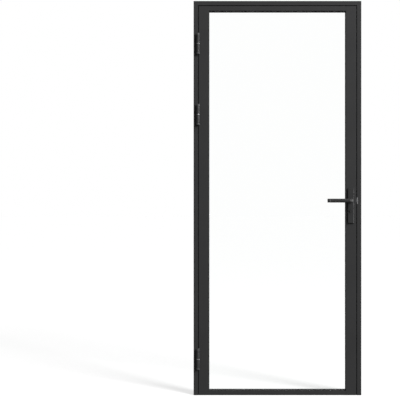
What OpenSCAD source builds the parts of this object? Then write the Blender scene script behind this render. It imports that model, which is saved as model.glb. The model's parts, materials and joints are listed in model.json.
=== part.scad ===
// Single-leaf glass door in its steel frame, hung on barrel hinges at the left.
// Millimetres, +Z up, seen from the front along +Y.
// The origin is on the floor, at the middle of the frame's width and of the leaf's thickness.

/* [Frame] */
// Overall width of the frame
frame_w = 900; // [700:5:1200]
// Overall height of the frame
frame_h = 2115; // [1900:5:2600]
// Width of the frame's front face
frame_face = 23.5; // [23:0.5:40]
// Depth of the frame, front to back
frame_depth = 70; // [66:1:100]
// How far the stop stands in from the frame's face
stop_reach = 15; // [13:0.5:25]
// Gap for the seal between leaf and stop
seal_gap = 5; // [4:0.5:6]
// Gap between leaf and frame
leaf_gap = 3.5; // [3:0.25:5]
// Gap between leaf and floor
floor_gap = 3; // [2:0.5:10]
// Wall of the steel profiles
wall = 2; // [1.5:0.1:2.5]
// Rounding along the edges of the profiles
edge_r = 1.2; // [0.5:0.1:1.5]

/* [Wall fixing] */
// Diameter of the fixing holes in the jambs' outer wall
fixing_d = 7; // [5:0.5:10]
// Diameter of the access holes in the jambs' inner wall
access_d = 13; // [12:0.5:16]
// Height of the lowest fixing hole
fixing_z = 300; // [150:10:400]
// Distance between fixing holes
fixing_pitch = 500; // [400:10:520]

/* [Leaf] */
// Thickness of the leaf
leaf_t = 50; // [46:1:60]
// Face width of the stiles
stile_face = 56; // [55:0.5:90]
// Face width of the top rail
top_face = 26; // [22:0.5:120]
// Face width of the bottom rail
bottom_face = 22; // [20:0.5:200]
// Height of the glazing lip and beads
lip_h = 10; // [9:0.5:12]
// Thickness of the glazing lip
lip_t = 3; // [2:0.25:5]
// Thickness of the glass
glass_t = 8; // [6:0.5:12]
// Clearance round the edge of the glass
glass_clear = 4; // [3:0.5:5]
// Thickness of each glazing gasket
gasket_t = 4; // [3:0.5:5]
// Wall of the glazing beads
bead_wall = 1.5; // [1:0.1:2]
// Diameter of the studs that hold the beads
stud_d = 4; // [3:0.5:5]
// Distance between bead studs, about
stud_pitch = 300; // [150:10:500]
// Length of a setting block
block_l = 100; // [60:5:150]

/* [Hinges] */
// Diameter of the hinge barrel
barrel_d = 16; // [14:0.5:20]
// Height of each half of the barrel
knuckle_h = 53.5; // [40:0.5:70]
// Height of the bearing ring
ring_h = 3; // [2:0.5:5]
// Diameter of the hinge pin
pin_d = 9; // [7:0.5:10]
// Running clearance of pin in the upper knuckle
pin_clear = 0.05; // [0.02:0.01:0.1]
// Clearance between the barrel and the leaf's face
barrel_clear = 0.5; // [0.3:0.1:2]
// Height of the lowest bearing ring
hinge_low_z = 195; // [150:1:300]
// Distance of the highest bearing ring from the top of the frame
hinge_top_drop = 230; // [150:1:300]
// Distance from the highest ring down to the next
hinge_pitch = 380; // [200:1:500]

/* [Handle] */
// Height of the lever's axis
handle_z = 1044; // [900:1:1150]
// Distance of the lever's axis from the leaf's lock edge
backset = 30; // [29.5:0.5:31]
// Diameter of the lever bar
lever_d = 21; // [18:0.5:22]
// Reach of the lever from its axis to its tip
lever_reach = 115; // [105:1:150]
// Distance of the bar's centre line from the leaf's face
lever_stand = 50; // [45:1:60]
// Radius of the lever's bend, on the centre line
lever_bend = 15; // [12:0.5:20]
// Diameter of the lever's journal in its plate
journal_d = 16; // [14:0.5:17]
// Running clearance of the journals
journal_clear = 0.05; // [0.02:0.01:0.1]
// Width across the square spindle
spindle_w = 8; // [7:0.5:9]
// Width of a handle plate
plate_w = 33; // [31:0.5:40]
// Height of a handle plate
plate_h = 188; // [185:1:240]
// Thickness of a handle plate
plate_t = 9; // [8:0.5:12]
// Height of the plate's top above the lever's axis
plate_top = 67; // [65:1:85]
// Wall of a handle plate
plate_wall = 2.5; // [2:0.25:3]
// Diameter of the plate bolts
plate_bolt_d = 4; // [3:0.5:5]

/* [Lock] */
// Thickness of the lock case
case_t = 16; // [15:0.5:18]
// Wall of the lock case
case_wall = 1.5; // [1:0.1:2]
// Width of the forend
forend_w = 22; // [20:0.5:26]
// Distance from lever axis down to cylinder axis
cylinder_drop = 53; // [53:0.5:60]
// Height of the latch bolt
latch_h = 20; // [16:0.5:20]
// How far the latch bolt stands out of the leaf
latch_out = 11; // [9:0.5:12]
// Radius of the follower's arm, to the middle of its nose
arm_r = 14.5; // [14:0.25:15]
// Turn of the lever, in degrees
lever_turn = 36; // [30:1:36]
// Height of the deadbolt
deadbolt_h = 20; // [16:0.5:21]
// Thickness of the bolts
bolt_t = 12; // [10:0.5:12]
// Diameter of the cylinder's round part
cylinder_d = 17; // [16.5:0.1:17.5]
// Height of the cylinder's profile
cylinder_h = 33; // [32:0.5:34]
// Width of the cylinder's web
cylinder_web = 10; // [9.5:0.1:10.5]
// How far the cylinder's round part stands out of its plates
cylinder_out = 6; // [2:0.5:8]
// Diameter of the cylinder's plugs
plug_d = 13; // [12:0.5:13.5]
// Radius of the cylinder's cam
cam_r = 11; // [10:0.25:11.25]

/* [Strike] */
// Radius of the strike's rounded lip
strike_lip_r = 4; // [3.5:0.5:6]
// Height of the strike's lip
strike_lip_h = 35; // [30:1:60]
// Room round a bolt in the strike
strike_room = 1; // [0.5:0.25:2]
// Thickness of the backing strip behind the strike
backing_t = 3; // [2:0.5:4]

/* [Hidden] */
$fn = 64;

// Clearance of pieces that are slid into one another, and overlap of cuts past a face
fit = 0.2;
past = 1;

// Leaf outline
leaf_w = frame_w - 2 * (frame_face + leaf_gap);
leaf_top = frame_h - frame_face - leaf_gap;
front_y = -leaf_t / 2;
back_y = leaf_t / 2;
frame_back = front_y + frame_depth;
stop_front = back_y + seal_gap;
stop_u = frame_face + stop_reach;
seal_joint = 0.3;

// Tubes of the leaf and the glazing rebate between them
stile_tube = stile_face - lip_h;
top_tube = top_face - lip_h;
bottom_tube = bottom_face - lip_h;
tube_x = leaf_w / 2 - stile_tube;
sight_x = leaf_w / 2 - stile_face;
rebate_bottom = floor_gap + bottom_tube;
rebate_top = leaf_top - top_tube;
glass_y = front_y + lip_t + gasket_t;
bead_y = glass_y + glass_t + gasket_t;
gasket_inset = 0.5;
gasket_h = lip_h - 3;
vent_d = 4;

// Hinges: the axis stands over the gap, in front of the faces
barrel_r = barrel_d / 2;
hinge_x = -frame_w / 2 + frame_face + leaf_gap / 2;
hinge_y = front_y - barrel_r - barrel_clear;
hinge_top_z = frame_h - hinge_top_drop;
hinge_middle_z = hinge_top_z - hinge_pitch;
barrel_chamfer = 2.5;
pin_seat = knuckle_h - 8;
pin_reach = knuckle_h - 12;
foot_w = barrel_r - 1.5;
foot_gap = leaf_gap / 2 + 0.5;

// Handle and cylinder
handle_x = leaf_w / 2 - backset;
plate_low = plate_top - plate_h;
plate_edge = 2;
plate_corner = 2;
plate_bolt_rise = 48;
plate_bolt_drop = 99;
bolt_boss_r = plate_bolt_d / 2 + 3;
bush_r = journal_d / 2 + 4;
lever_gap = 0.3;
lever_edge = 0.8;
lever_screw_d = 5;
lever_screw_sunk = 1.2;
lever_screw_y = front_y - plate_t - 12;
spindle_reach = leaf_t / 2 + plate_t + 24;
cylinder_half = leaf_t / 2 + plate_t + cylinder_out;
web_half = leaf_t / 2 + plate_t + 0.5;
cylinder_play = 0.3;

// Lock, measured inward from the leaf's lock edge and up from the lever's axis
case_back = stile_tube - wall - 1;
case_top = 25;
case_low = -cylinder_drop - 29;
forend_top = 57;
forend_low = -cylinder_drop - 59;
forend_screw_inset = 9;
screw_d = 4.5;
screw_head_d = 8;
recess_w = 1;
recess_l = 4.4;
recess_t = 1.4;
lug_h = 26;
lug_t = 5;
hub_r = 9;
hub_journal_r = 7;
arm_w = 3;
nose_r = 2.5;
arm_start = -lever_turn / 2;
latch_travel = 2 * arm_r * sin(lever_turn / 2);
latch_clear = 0.3;
tail_t = 3.4;
hook_t = 3;
hook_low = hub_r + 2.3;
hook_u = backset + arm_r * sin(arm_start) + nose_r + latch_clear;
tail_low = arm_r + nose_r + 0.6;
latch_end = backset - hub_r - latch_travel - 1;
latch_bevel = 8;
deadbolt_top = -18;
deadbolt_rest = 0.4;
deadbolt_end = 26;
deadbolt_throw = 14;
talon_w = 6;
talon_low = -cylinder_drop + cam_r + 0.5;
cylinder_screw_drop = cylinder_drop + cylinder_h - cylinder_d / 2 - 5.5;
cylinder_screw_d = 5;
cam_t = 9;
cam_slot = cam_t + 1;
keyway_w = 2.2;
keyway_h = 8;

// Strike, measured in from the jamb's outer side and up from the lever's axis
strike_t = wall;
strike_half = forend_w / 2;
strike_top = 47;
strike_low = -95;
strike_screw_inset = 10;

steel_black = [0.16, 0.16, 0.17];
fitting_black = [0.19, 0.19, 0.2];
bright_steel = [0.72, 0.72, 0.73];
rubber_black = [0.08, 0.08, 0.08];
clear_glass = [0.86, 0.93, 0.91, 0.35];

// Cylinder along Y from y0 to y1
module bar_y(d, y0, y1) {
    translate([0, y1, 0])
        rotate([90, 0, 0])
            cylinder(d = d, h = y1 - y0);
}

// Cylinder along X from x0 to x1
module bar_x(d, x0, x1) {
    translate([x0, 0, 0])
        rotate([0, 90, 0])
            cylinder(d = d, h = x1 - x0);
}

// Box from one corner to the opposite corner
module box(low, high) {
    translate(low)
        cube(high - low);
}

// Flat rectangle from one corner to the opposite corner
module flat(low, high) {
    translate(low)
        square(high - low);
}

// Flat rectangle with round corners
module round_flat(low, high, r) {
    flat(low + [r, 0], high - [r, 0]);
    flat(low + [0, r], high - [0, r]);
    for (x = [low.x + r, high.x - r])
        for (y = [low.y + r, high.y - r])
            translate([x, y])
                circle(r);
}

// Section drawn in X and Y, run along Z between two heights
module run_z(z0, z1) {
    translate([0, 0, z0])
        linear_extrude(z1 - z0)
            children();
}

// Outline drawn in X and Z, run along Y between two depths
module run_y(y0, y1) {
    translate([0, y1, 0])
        rotate([90, 0, 0])
            linear_extrude(y1 - y0)
                children();
}

// Section whose X points down from a height, run along X over a centred length
module run_down(top, length) {
    translate([-length / 2, 0, top])
        rotate([0, 90, 0])
            linear_extrude(length)
                children();
}

// Section whose X points up from a height, run along X over a centred length
module run_up(bottom, length) {
    translate([length / 2, 0, bottom])
        rotate([0, -90, 0])
            linear_extrude(length)
                children();
}

// Frame of the lock: X runs inward from the leaf's lock edge, Z up from the lever's axis
module at_lock() {
    translate([leaf_w / 2, 0, handle_z])
        mirror([1, 0, 0])
            children();
}

// Frame of the lock jamb: X runs in from the jamb's outer side, Z up from the lever's axis
module at_strike() {
    translate([frame_w / 2, 0, handle_z])
        mirror([1, 0, 0])
            children();
}

// Section of the frame: a hollow face tube with a hollow stop at the back
module frame_section() {
    difference() {
        union() {
            round_flat([0, front_y], [frame_face, frame_back], edge_r);
            flat([wall, stop_front], [frame_face, frame_back]);
            round_flat([wall, stop_front], [stop_u, frame_back], edge_r);
        }
        flat([wall, front_y + wall], [frame_face - wall, frame_back - wall]);
        flat([wall, stop_front + wall], [stop_u - wall, frame_back - wall]);
    }
}

// D-shaped seal on the front of the stop
module seal_section() {
    seal_u = (frame_face + leaf_gap + stop_u) / 2;
    seal_r = seal_gap - 1.5;
    foot_r = seal_r + 0.5;
    intersection() {
        translate([seal_u, back_y + 0.3 + seal_r])
            circle(seal_r);
        flat([seal_u - foot_r, back_y], [seal_u + foot_r, stop_front]);
    }
    flat([seal_u - foot_r, stop_front - 1], [seal_u + foot_r, stop_front]);
}

// Upright length of a frame section, mitred at the head
module upright() {
    translate([-frame_w / 2, 0, 0])
        difference() {
            run_z(0, frame_h)
                children();
            translate([0, 0, frame_h])
                run_y(front_y - past, frame_back + past)
                    polygon([[0, 0], [2 * stop_u, 0], [2 * stop_u, -2 * stop_u]]);
        }
}

// Cross length of a frame section, mitred at both ends
module crossbar() {
    difference() {
        run_down(frame_h, frame_w)
            children();
        for (side = [0, 1])
            mirror([side, 0, 0])
                translate([-frame_w / 2, 0, frame_h])
                    run_y(front_y - past, frame_back + past)
                        polygon([[0, 0], [2 * stop_u, -2 * stop_u], [0, -2 * stop_u]]);
    }
}

// Holes that take the wall screws through one jamb
module fixing_holes() {
    for (i = [0:3])
        translate([-frame_w / 2, 0, fixing_z + i * fixing_pitch]) {
            bar_x(fixing_d, -past, wall + past);
            bar_x(access_d, frame_face - wall - past, frame_face + past);
        }
}

module hinge_jamb() {
    color(steel_black)
        difference() {
            upright()
                frame_section();
            fixing_holes();
        }
}

module lock_jamb() {
    color(steel_black)
        difference() {
            mirror([1, 0, 0])
                difference() {
                    upright()
                        frame_section();
                    fixing_holes();
                }
            at_strike() {
                box([frame_face - wall - past, -strike_half - fit, strike_low - fit],
                    [frame_face + past, strike_half + fit, strike_top + fit]);
                box([frame_face - strike_lip_r - fit, front_y - past, -strike_lip_h / 2 - fit],
                    [frame_face + past, -strike_half, strike_lip_h / 2 + fit]);
            }
        }
}

module head_jamb() {
    color(steel_black)
        crossbar()
            frame_section();
}

// Seal in three lengths, with an open joint at each mitre
module rebate_seal() {
    color(rubber_black) {
        for (side = [0, 1])
            mirror([side, 0, 0])
                upright()
                    seal_section();
        translate([0, 0, seal_joint])
            crossbar()
                seal_section();
    }
}

// Openings that a bolt passes through, with room all round
module bolt_windows(x0, x1, room) {
    half = bolt_t / 2 + room;
    box([x0, -half, -latch_h / 2 - room], [x1, half, latch_h / 2 + room]);
    box([x0, -half, deadbolt_top - deadbolt_h - room], [x1, half, deadbolt_top + room]);
}

// Places of the strike's two screws
module strike_screw_places() {
    for (z = [strike_top - strike_screw_inset, strike_low + strike_screw_inset])
        translate([frame_face, 0, z])
            children();
}

// Cross-shaped recess for a driver, cut along X into a face at X = 0
module cross_recess() {
    for (turn = [0, 90])
        rotate([turn, 0, 0])
            box([-past, -recess_w / 2, -recess_l / 2], [recess_t, recess_w / 2, recess_l / 2]);
}

// Flat-headed screw that points along +X or -X from the face it is flush with
module flush_screw(length) {
    head_h = (screw_head_d - screw_d) / 2;
    difference() {
        rotate([0, 90, 0]) {
            cylinder(d1 = screw_head_d, d2 = screw_d, h = head_h);
            translate([0, 0, head_h])
                cylinder(d = screw_d, h = length - head_h);
        }
        cross_recess();
    }
}

// Hole with a countersink that takes such a screw
module flush_hole(length) {
    head_h = (screw_head_d - screw_d) / 2;
    rotate([0, 90, 0]) {
        translate([0, 0, -past])
            cylinder(d = screw_head_d, h = past);
        cylinder(d1 = screw_head_d, d2 = screw_d, h = head_h);
        cylinder(d = screw_d, h = length);
    }
}

module strike_plate() {
    color(bright_steel)
        at_strike()
            difference() {
                union() {
                    box([frame_face - strike_t, -strike_half, strike_low],
                        [frame_face, strike_half, strike_top]);
                    run_z(-strike_lip_h / 2, strike_lip_h / 2)
                        strike_lip_section();
                }
                bolt_windows(frame_face - strike_t - past, frame_face + past, strike_room);
                strike_screw_places()
                    mirror([1, 0, 0])
                        flush_hole(strike_t + past);
            }
}

// Lip that carries the strike round the jamb's front corner
module strike_lip_section() {
    bend_u = frame_face - strike_lip_r;
    bend_y = front_y + strike_lip_r;
    flat([frame_face - strike_t, bend_y], [frame_face, -strike_half]);
    intersection() {
        translate([bend_u, bend_y])
            difference() {
                circle(strike_lip_r);
                circle(strike_lip_r - strike_t);
            }
        flat([bend_u, front_y], [frame_face, bend_y]);
    }
}

module strike_backing() {
    margin = 2;
    back_u = frame_face - wall - backing_t;
    color(bright_steel)
        at_strike()
            difference() {
                box([back_u, -strike_half - margin, strike_low - margin],
                    [back_u + backing_t, strike_half + margin, strike_top + margin]);
                bolt_windows(back_u - past, frame_face, 2 * strike_room);
                box([back_u - past, -strike_half - margin - past, -strike_lip_h / 2 - margin],
                    [frame_face, -strike_half, strike_lip_h / 2 + margin]);
                strike_screw_places()
                    bar_x(screw_d, -frame_face, past);
            }
}

module strike_screws() {
    color(bright_steel)
        at_strike()
            strike_screw_places()
                mirror([1, 0, 0])
                    flush_screw(strike_t + backing_t + 2);
}

// Heights of the bearing rings, from the lowest hinge up
hinge_z = [hinge_low_z, hinge_middle_z, hinge_top_z];

module at_hinge(i) {
    translate([hinge_x, hinge_y, hinge_z[i]])
        children();
}

// Barrel section with its foot on the face, on the leaf side or, mirrored, the jamb side
module knuckle_section() {
    circle(barrel_r);
    flat([foot_gap, 0], [foot_w, barrel_r + barrel_clear]);
}

// Upper half of a barrel, from its ring end up; the lower half is its mirror image
module knuckle_half() {
    difference() {
        linear_extrude(knuckle_h)
            knuckle_section();
        translate([0, 0, knuckle_h - barrel_chamfer])
            difference() {
                translate([-barrel_d, -barrel_d, 0])
                    cube([2 * barrel_d, 2 * barrel_d, barrel_d]);
                translate([0, 0, -past])
                    cylinder(d = 2 * barrel_d, h = past);
                cylinder(r1 = barrel_r + 0.001, r2 = barrel_r - barrel_chamfer, h = barrel_chamfer);
                translate([foot_gap, 0, -past])
                    cube([foot_w - foot_gap, barrel_d, barrel_chamfer + past]);
            }
    }
}

module upper_knuckle(i) {
    color(steel_black)
        at_hinge(i)
            translate([0, 0, ring_h / 2])
                difference() {
                    knuckle_half();
                    translate([0, 0, -past])
                        cylinder(d = pin_d + 2 * pin_clear, h = pin_reach + past + 0.5);
                }
}

module lower_knuckle(i) {
    color(steel_black)
        at_hinge(i)
            translate([0, 0, -ring_h / 2])
                mirror([0, 0, 1])
                    mirror([1, 0, 0])
                        difference() {
                            knuckle_half();
                            translate([0, 0, -past])
                                cylinder(d = pin_d, h = pin_seat + past);
                        }
}

module hinge_pin(i) {
    color(bright_steel)
        at_hinge(i)
            translate([0, 0, -ring_h / 2 - pin_seat])
                cylinder(d = pin_d, h = pin_seat + ring_h + pin_reach);
}

module hinge_ring(i) {
    color(bright_steel)
        at_hinge(i)
            translate([0, 0, -ring_h / 2])
                difference() {
                    cylinder(d = barrel_d, h = ring_h);
                    translate([0, 0, -past])
                        cylinder(d = pin_d + 2 * pin_clear, h = ring_h + 2 * past);
                }
}

module lower_knuckle_bottom() { lower_knuckle(0); }
module lower_knuckle_middle() { lower_knuckle(1); }
module lower_knuckle_top() { lower_knuckle(2); }
module upper_knuckle_bottom() { upper_knuckle(0); }
module upper_knuckle_middle() { upper_knuckle(1); }
module upper_knuckle_top() { upper_knuckle(2); }
module hinge_pin_bottom() { hinge_pin(0); }
module hinge_pin_middle() { hinge_pin(1); }
module hinge_pin_top() { hinge_pin(2); }
module hinge_ring_bottom() { hinge_ring(0); }
module hinge_ring_middle() { hinge_ring(1); }
module hinge_ring_top() { hinge_ring(2); }

// Outline of a leaf profile: a tube with the glazing lip at its front
module leaf_outline(tube) {
    round_flat([0, front_y], [tube, back_y], edge_r);
    round_flat([0, front_y], [tube + lip_h, front_y + lip_t], edge_r * 0.8);
    flat([tube - 2 * edge_r, front_y + lip_t / 2], [tube, back_y - edge_r]);
}

// Hollow of a leaf profile
module leaf_hollow(tube) {
    flat([wall, front_y + wall], [tube - wall, back_y - wall]);
}

// Stile at the lock edge, closed at both ends; the hinge stile is its mirror image
module stile() {
    translate([leaf_w / 2, 0, 0])
        mirror([1, 0, 0])
            difference() {
                run_z(floor_gap, leaf_top)
                    leaf_outline(stile_tube);
                run_z(floor_gap + wall, leaf_top - wall)
                    leaf_hollow(stile_tube);
                translate([stile_tube / 2, 0, floor_gap - past])
                    cylinder(d = vent_d, h = wall + 2 * past);
            }
}

module hinge_stile() {
    color(steel_black)
        mirror([1, 0, 0])
            stile();
}

module lock_stile() {
    color(steel_black)
        difference() {
            stile();
            at_lock() {
                box([-past, -forend_w / 2 - fit, forend_low - fit],
                    [wall + past, forend_w / 2 + fit, forend_top + fit]);
                translate([backset, 0, 0])
                    bar_y(2 * (hub_r + 1), front_y - past, back_y + past);
                translate([backset, 0, -cylinder_drop])
                    run_y(front_y - past, back_y + past)
                        cylinder_outline(cylinder_play);
                plate_bolt_places()
                    bar_y(plate_bolt_d + 2, front_y - past, back_y + past);
            }
        }
}

// Ends of a rail, cut back to fit behind the stiles' glazing lips
module rail_notches() {
    for (side = [0, 1])
        mirror([side, 0, 0])
            box([sight_x, front_y - past, floor_gap - past],
                [tube_x + past, front_y + lip_t, leaf_top + past]);
}

module top_rail() {
    color(steel_black)
        difference() {
            run_down(leaf_top, 2 * tube_x)
                difference() {
                    leaf_outline(top_tube);
                    leaf_hollow(top_tube);
                }
            rail_notches();
        }
}

module bottom_rail() {
    color(steel_black)
        difference() {
            run_up(floor_gap, 2 * tube_x)
                difference() {
                    leaf_outline(bottom_tube);
                    leaf_hollow(bottom_tube);
                }
            rail_notches();
        }
}

module glass_pane() {
    color(clear_glass)
        box([-tube_x + glass_clear, glass_y, rebate_bottom + glass_clear],
            [tube_x - glass_clear, glass_y + glass_t, rebate_top - glass_clear]);
}

module setting_blocks() {
    block_x = tube_x / 2;
    color(rubber_black)
        for (x = [-block_x, block_x])
            translate([x, 0, 0])
                box([-block_l / 2, glass_y, rebate_bottom],
                    [block_l / 2, glass_y + glass_t, rebate_bottom + glass_clear]);
}

// Ring of gasket between two depths, just inside the edge of the lip
module gasket(y0) {
    inner = lip_h - gasket_inset;
    outer = inner - gasket_h;
    difference() {
        box([-tube_x + outer, y0, rebate_bottom + outer],
            [tube_x - outer, y0 + gasket_t, rebate_top - outer]);
        box([-tube_x + inner, y0 - past, rebate_bottom + inner],
            [tube_x - inner, y0 + gasket_t + past, rebate_top - inner]);
    }
}

module front_gasket() {
    color(rubber_black)
        gasket(glass_y - gasket_t);
}

module back_gasket() {
    color(rubber_black)
        gasket(glass_y + glass_t);
}

// Channel of a glazing bead, open towards the tube it stands on
module bead_section() {
    difference() {
        round_flat([0, bead_y], [lip_h, back_y], edge_r * 0.8);
        flat([-past, bead_y + bead_wall], [lip_h - bead_wall, back_y - bead_wall]);
    }
}

module bead_top() {
    color(steel_black)
        run_down(rebate_top, 2 * sight_x)
            bead_section();
}

module bead_bottom() {
    color(steel_black)
        run_up(rebate_bottom, 2 * sight_x)
            bead_section();
}

module bead_lock_side() {
    color(steel_black)
        translate([tube_x, 0, 0])
            mirror([1, 0, 0])
                run_z(rebate_bottom, rebate_top)
                    bead_section();
}

module bead_hinge_side() {
    color(steel_black)
        mirror([1, 0, 0])
            bead_lock_side();
}

// Button stud along +X, from the tube's wall into the bead
module bead_stud() {
    head_t = 2;
    reach = lip_h - bead_wall - 0.5;
    bar_x(stud_d, 0, reach);
    bar_x(stud_d + 3, reach - head_t, reach);
}

module bead_studs() {
    stud_y = (bead_y + back_y) / 2;
    rows = round((rebate_top - rebate_bottom) / stud_pitch);
    columns = round(2 * tube_x / stud_pitch);
    row_pitch = (rebate_top - rebate_bottom) / rows;
    column_pitch = 2 * tube_x / columns;
    color(bright_steel)
        translate([0, stud_y, 0]) {
            for (side = [0, 1])
                mirror([side, 0, 0])
                    for (i = [0.5:1:rows])
                        translate([-tube_x, 0, rebate_bottom + i * row_pitch])
                            bead_stud();
            for (i = [0.5:1:columns])
                translate([i * column_pitch - tube_x, 0, 0]) {
                    translate([0, 0, rebate_bottom])
                        rotate([0, -90, 0])
                            bead_stud();
                    translate([0, 0, rebate_top])
                        rotate([0, 90, 0])
                            bead_stud();
                }
        }
}

// Outline of the profile cylinder round its axis, larger all round by a play
module cylinder_outline(play) {
    web_low = cylinder_d / 2 - cylinder_h;
    web_r = cylinder_web / 2 + play;
    circle(cylinder_d / 2 + play);
    flat([-web_r, web_low + cylinder_web / 2], [web_r, 0]);
    translate([0, web_low + cylinder_web / 2])
        circle(web_r);
}

// Case of the lock, a tray open at the back
module lock_case() {
    half = case_t / 2;
    color(bright_steel)
        at_lock()
            difference() {
                box([wall, -half, case_low], [case_back, half - case_wall, case_top]);
                box([wall + case_wall, case_wall - half, case_low + case_wall],
                    [case_back - case_wall, half, case_top - case_wall]);
                bolt_windows(0, wall + case_wall + past, fit);
                case_openings(-half - past, past - half + case_wall);
                translate([0, 0, -cylinder_screw_drop])
                    bar_x(cylinder_screw_d + 1, 0, wall + case_wall + past);
            }
}

// Round and profiled openings through a side of the lock case
module case_openings(y0, y1) {
    translate([backset, 0, 0])
        bar_y(2 * (hub_journal_r + journal_clear), y0, y1);
    translate([backset, 0, -cylinder_drop])
        run_y(y0, y1)
            cylinder_outline(cylinder_play);
}

module lock_cover() {
    half = case_t / 2;
    color(bright_steel)
        at_lock()
            difference() {
                box([wall, half - case_wall, case_low], [case_back, half, case_top]);
                case_openings(half - case_wall - past, half + past);
            }
}

// Places of the forend's two screws
module forend_screw_places() {
    for (z = [forend_top - forend_screw_inset, forend_low + forend_screw_inset])
        translate([0, 0, z])
            children();
}

module lock_forend() {
    color(bright_steel)
        at_lock()
            difference() {
                box([0, -forend_w / 2, forend_low], [wall, forend_w / 2, forend_top]);
                bolt_windows(-past, wall + past, fit);
                forend_screw_places()
                    flush_hole(wall + past);
                translate([0, 0, -cylinder_screw_drop])
                    flush_hole(wall + past);
            }
}

// Lugs inside the stile that the forend is screwed to
module lock_lugs() {
    color(bright_steel)
        at_lock()
            difference() {
                forend_screw_places()
                    box([wall, -forend_w / 2, -lug_h / 2], [wall + lug_t, forend_w / 2, lug_h / 2]);
                forend_screw_places()
                    bar_x(screw_d, 0, wall + lug_t + past);
            }
}

module forend_screws() {
    color(bright_steel)
        at_lock()
            forend_screw_places()
                flush_screw(wall + lug_t + 2);
}

module cylinder_body() {
    color(fitting_black)
        at_lock()
            translate([backset, 0, -cylinder_drop])
                difference() {
                    union() {
                        run_y(-web_half, web_half)
                            cylinder_outline(0);
                        bar_y(cylinder_d - 1, -cylinder_half, cylinder_half);
                    }
                    bar_y(plug_d + 2 * journal_clear, -cylinder_half - past, cylinder_half + past);
                    box([-cylinder_d, -cam_slot / 2, -cam_r - 0.5],
                        [cylinder_d, cam_slot / 2, cylinder_d]);
                    translate([0, 0, cylinder_drop - cylinder_screw_drop])
                        bar_x(cylinder_screw_d, -cylinder_d, 2);
                }
}

module cylinder_screw() {
    color(bright_steel)
        at_lock()
            translate([0, 0, -cylinder_screw_drop]) {
                flush_screw(backset / 2);
                bar_x(cylinder_screw_d, backset / 2, backset + 2);
            }
}

// Places of the bolts that clamp the handle plates
module plate_bolt_places() {
    for (z = [plate_bolt_rise, -plate_bolt_drop])
        translate([backset, 0, z])
            children();
}

// Handle plate at the front, hollow behind, with a bush for the lever
module handle_plate() {
    half = plate_w / 2;
    seat = front_y;
    face = front_y - plate_t;
    difference() {
        run_y(face, seat)
            translate([backset, 0])
                round_flat([-half, plate_low], [half, plate_top], plate_corner);
        run_y(face + plate_wall, seat + past)
            difference() {
                translate([backset, 0])
                    flat([plate_wall - half, plate_low + plate_wall],
                         [half - plate_wall, plate_top - plate_wall]);
                translate([backset, 0])
                    circle(bush_r);
                translate([backset, -cylinder_drop])
                    cylinder_outline(plate_wall);
                for (z = [plate_bolt_rise, -plate_bolt_drop])
                    translate([backset, z])
                        circle(bolt_boss_r);
            }
        translate([backset, 0, 0])
            bar_y(journal_d + 2 * journal_clear, face - past, seat + past);
        translate([backset, 0, -cylinder_drop])
            run_y(face - past, seat + past)
                cylinder_outline(cylinder_play);
        translate([backset, face, 0])
            plate_edges(half);
    }
}

// Wedges that take the sharp edge off a plate's face
module plate_edges(half) {
    for (x = [-half, half])
        translate([x, 0, plate_low - past])
            rotate([0, 0, 45])
                translate([-plate_edge, -plate_edge, 0] / sqrt(2))
                    cube([plate_edge * sqrt(2), plate_edge * sqrt(2), plate_h + 2 * past]);
    for (z = [plate_low, plate_top])
        translate([-half - past, 0, z])
            rotate([45, 0, 0])
                translate([0, -plate_edge, -plate_edge] / sqrt(2))
                    cube([2 * (half + past), plate_edge * sqrt(2), plate_edge * sqrt(2)]);
}

module front_plate() {
    color(fitting_black)
        at_lock()
            difference() {
                handle_plate();
                plate_bolt_places()
                    bar_y(plate_bolt_d, plate_wall + front_y - plate_t, front_y + past);
            }
}

module back_plate() {
    color(fitting_black)
        at_lock()
            difference() {
                mirror([0, 1, 0])
                    handle_plate();
                plate_bolt_places() {
                    bar_y(plate_bolt_d, back_y - past, back_y + plate_t + past);
                    translate([0, back_y + plate_t, 0])
                        bolt_head(past);
                }
            }
}

// Cone of a bolt's head, flush with a face that looks along +Y
module bolt_head(extra) {
    head_h = plate_bolt_d / 2;
    rotate([90, 0, 0]) {
        cylinder(d1 = 2 * plate_bolt_d, d2 = plate_bolt_d, h = head_h);
        if (extra > 0)
            translate([0, 0, -extra])
                cylinder(d = 2 * plate_bolt_d, h = extra);
    }
}

module plate_bolts() {
    color(bright_steel)
        at_lock()
            plate_bolt_places()
                difference() {
                    union() {
                        bar_y(plate_bolt_d, plate_wall + front_y - plate_t, back_y + plate_t);
                        translate([0, back_y + plate_t, 0])
                            bolt_head(0);
                    }
                    translate([0, back_y + plate_t, 0])
                        rotate([0, 0, -90])
                            cross_recess();
                }
}

// Lever at the front: a journal in the plate, a round neck, a bend and a bar
module lever() {
    face = front_y - plate_t - lever_gap;
    bar_line = front_y - lever_stand;
    bend_line = bar_line + lever_bend;
    difference() {
        union() {
            bar_y(journal_d, face, front_y);
            bar_y(lever_d, bend_line, face);
            translate([lever_bend, bend_line, 0])
                rotate([0, 0, 180])
                    rotate_extrude(angle = 90)
                        translate([lever_bend, 0])
                            circle(d = lever_d);
            translate([0, bar_line, 0]) {
                bar_x(lever_d, lever_bend, lever_reach - lever_edge);
                translate([lever_reach - lever_edge, 0, 0])
                    rotate([0, 90, 0])
                        cylinder(d1 = lever_d, d2 = lever_d - 2 * lever_edge, h = lever_edge);
            }
        }
        spindle_bar(fit / 2);
        lever_screw_bar(lever_d);
    }
}

// Round bar from a depth below the lever's axis up to the spindle
module lever_screw_bar(drop) {
    translate([0, lever_screw_y, -drop])
        cylinder(d = lever_screw_d, h = drop - spindle_w / 2);
}

// Square bar through the leaf, larger all round by a play
module spindle_bar(play) {
    half = spindle_w / 2 + play;
    reach = spindle_reach + play;
    box([-half, -reach, -half], [half, reach, half]);
}

module front_lever() {
    color(fitting_black)
        at_lock()
            translate([backset, 0, 0])
                lever();
}

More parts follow.
